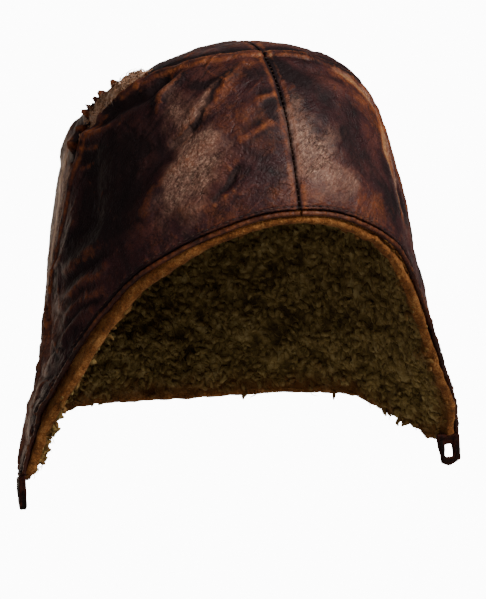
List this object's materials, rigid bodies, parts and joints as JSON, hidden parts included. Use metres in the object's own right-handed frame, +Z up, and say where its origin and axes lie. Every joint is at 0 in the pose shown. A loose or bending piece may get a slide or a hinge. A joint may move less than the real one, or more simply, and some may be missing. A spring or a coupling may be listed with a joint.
{
  "type": "leather football helmet",
  "caption": "Soft worn leather helmet with ear flaps, a sheepskin lining, a rolled edge and a strap loop at each flap's tip, worn on the head.",
  "frame": {"origin": "top of the inside of the crown, where the crown of the head meets the lining", "axes": "+Z up, the wearer faces -Y, the wearer's left is +X"},
  "size_m": [0.249, 0.2244, 0.2389],
  "materials": {
    "leather": "dark brown, creased and half glossy, worn to orange on its ridges and edges",
    "binding": "reddish brown rolled edge, rubbed light along its top",
    "fleece": "matted sheepskin, golden tan at the edge and olive brown inside",
    "strap": "dark red-brown folded strap leather"
  },
  "bodies": {
    "root": {"front_panel_right": "leather", "front_panel_left": "leather", "back_panel_right": "leather", "back_panel_left": "leather", "fleece_lining": "fleece", "face_binding_right": "binding", "face_binding_left": "binding", "nape_binding": "binding", "strap_loop_right": "strap", "strap_loop_left": "strap"}
  },
  "joints": []
}
